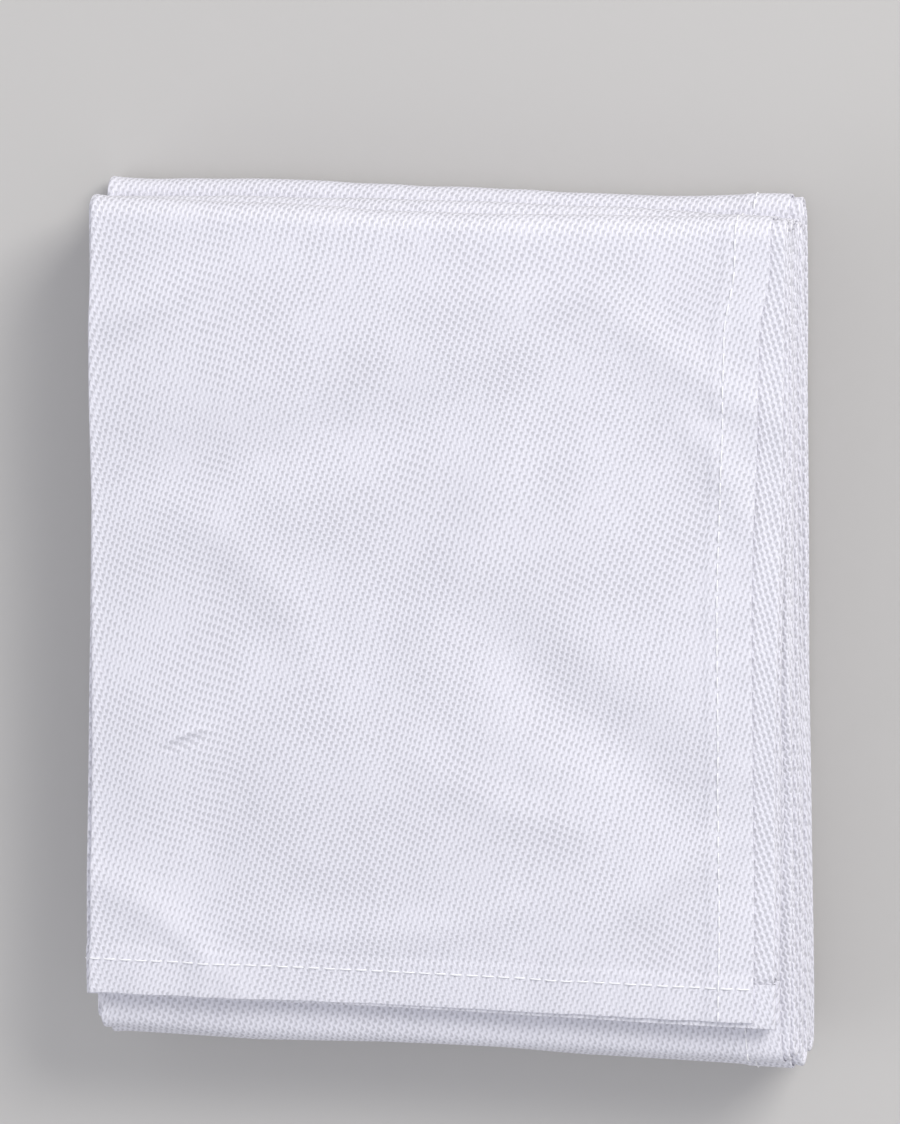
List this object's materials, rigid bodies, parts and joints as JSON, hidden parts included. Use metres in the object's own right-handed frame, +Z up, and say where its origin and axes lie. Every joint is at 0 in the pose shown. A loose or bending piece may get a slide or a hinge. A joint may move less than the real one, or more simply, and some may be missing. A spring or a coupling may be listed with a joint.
{
  "type": "folded stroller mosquito net",
  "caption": "White fine-mesh mosquito net for a stroller, one hemmed sheet folded back and forth into a flat rectangular packet.",
  "frame": {"origin": "middle of the packet's flat underside", "axes": "+X towards the packet's right side, +Y towards its top end along its length, +Z up, out of its face"},
  "size_m": [0.126, 0.15, 0.0278],
  "materials": {
    "net": "soft matt knitted polyester mesh with fine open holes",
    "thread": "white polyester sewing thread along the hem"
  },
  "bodies": {
    "root": {"folded_net": "net"}
  },
  "joints": []
}
